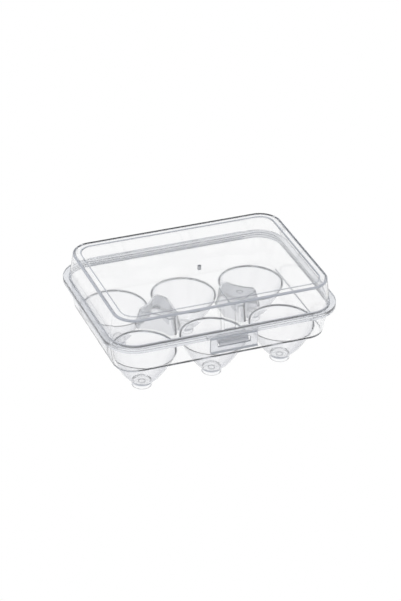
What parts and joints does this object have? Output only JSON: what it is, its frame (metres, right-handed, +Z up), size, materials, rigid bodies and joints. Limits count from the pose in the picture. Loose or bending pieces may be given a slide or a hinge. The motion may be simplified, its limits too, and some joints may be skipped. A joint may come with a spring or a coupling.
{
  "type": "egg keeper",
  "caption": "Clear moulded egg box: a tray of round cups on ring feet under a hinged lid that a front hasp holds shut.",
  "frame": {"origin": "on the surface that the box stands on, under the middle of the closed box with its hasp and hinge", "axes": "+X along the rows of cups, -Y towards the hasp, +Y towards the lid's hinge, +Z up"},
  "size_m": [0.1692, 0.1294, 0.07],
  "materials": {
    "clear_polypropylene": "clear, slightly milky moulded polypropylene",
    "rim_polypropylene": "the same polypropylene where it is thick, greyer and less clear"
  },
  "bodies": {
    "tray": {"tray_rim": "rim_polypropylene", "tray_wall": "clear_polypropylene", "tray_deck": "clear_polypropylene", "cup_front_left": "clear_polypropylene", "cup_front_middle": "clear_polypropylene", "cup_front_right": "clear_polypropylene", "cup_back_left": "clear_polypropylene", "cup_back_middle": "clear_polypropylene", "cup_back_right": "clear_polypropylene", "post_left": "clear_polypropylene", "post_right": "clear_polypropylene", "hasp_catch": "rim_polypropylene", "tray_hinge_leaf": "rim_polypropylene", "lid_hinge_bead": "rim_polypropylene"},
    "lid": {"lid_rim": "rim_polypropylene", "lid_wall": "clear_polypropylene", "lid_border": "clear_polypropylene", "lid_panel": "clear_polypropylene", "lid_rib_left": "clear_polypropylene", "lid_rib_right": "clear_polypropylene", "lid_hinge_leaf": "rim_polypropylene", "lid_tab": "rim_polypropylene"},
    "hasp": {"hasp_bead": "rim_polypropylene", "hasp_frame": "rim_polypropylene", "hasp_pull": "rim_polypropylene"}
  },
  "joints": [
    {"name": "lid_hinge", "type": "hinge", "parent": "tray", "child": "lid", "pos_m": [0, 0.06417, 0.0502], "axis": [-1, 0, 0], "range_deg": [0, 180]},
    {"name": "hasp_hinge", "type": "hinge", "parent": "lid", "child": "hasp", "pos_m": [0, -0.06177, 0.051], "axis": [-1, 0, 0], "range_deg": [0, 105]}
  ]
}
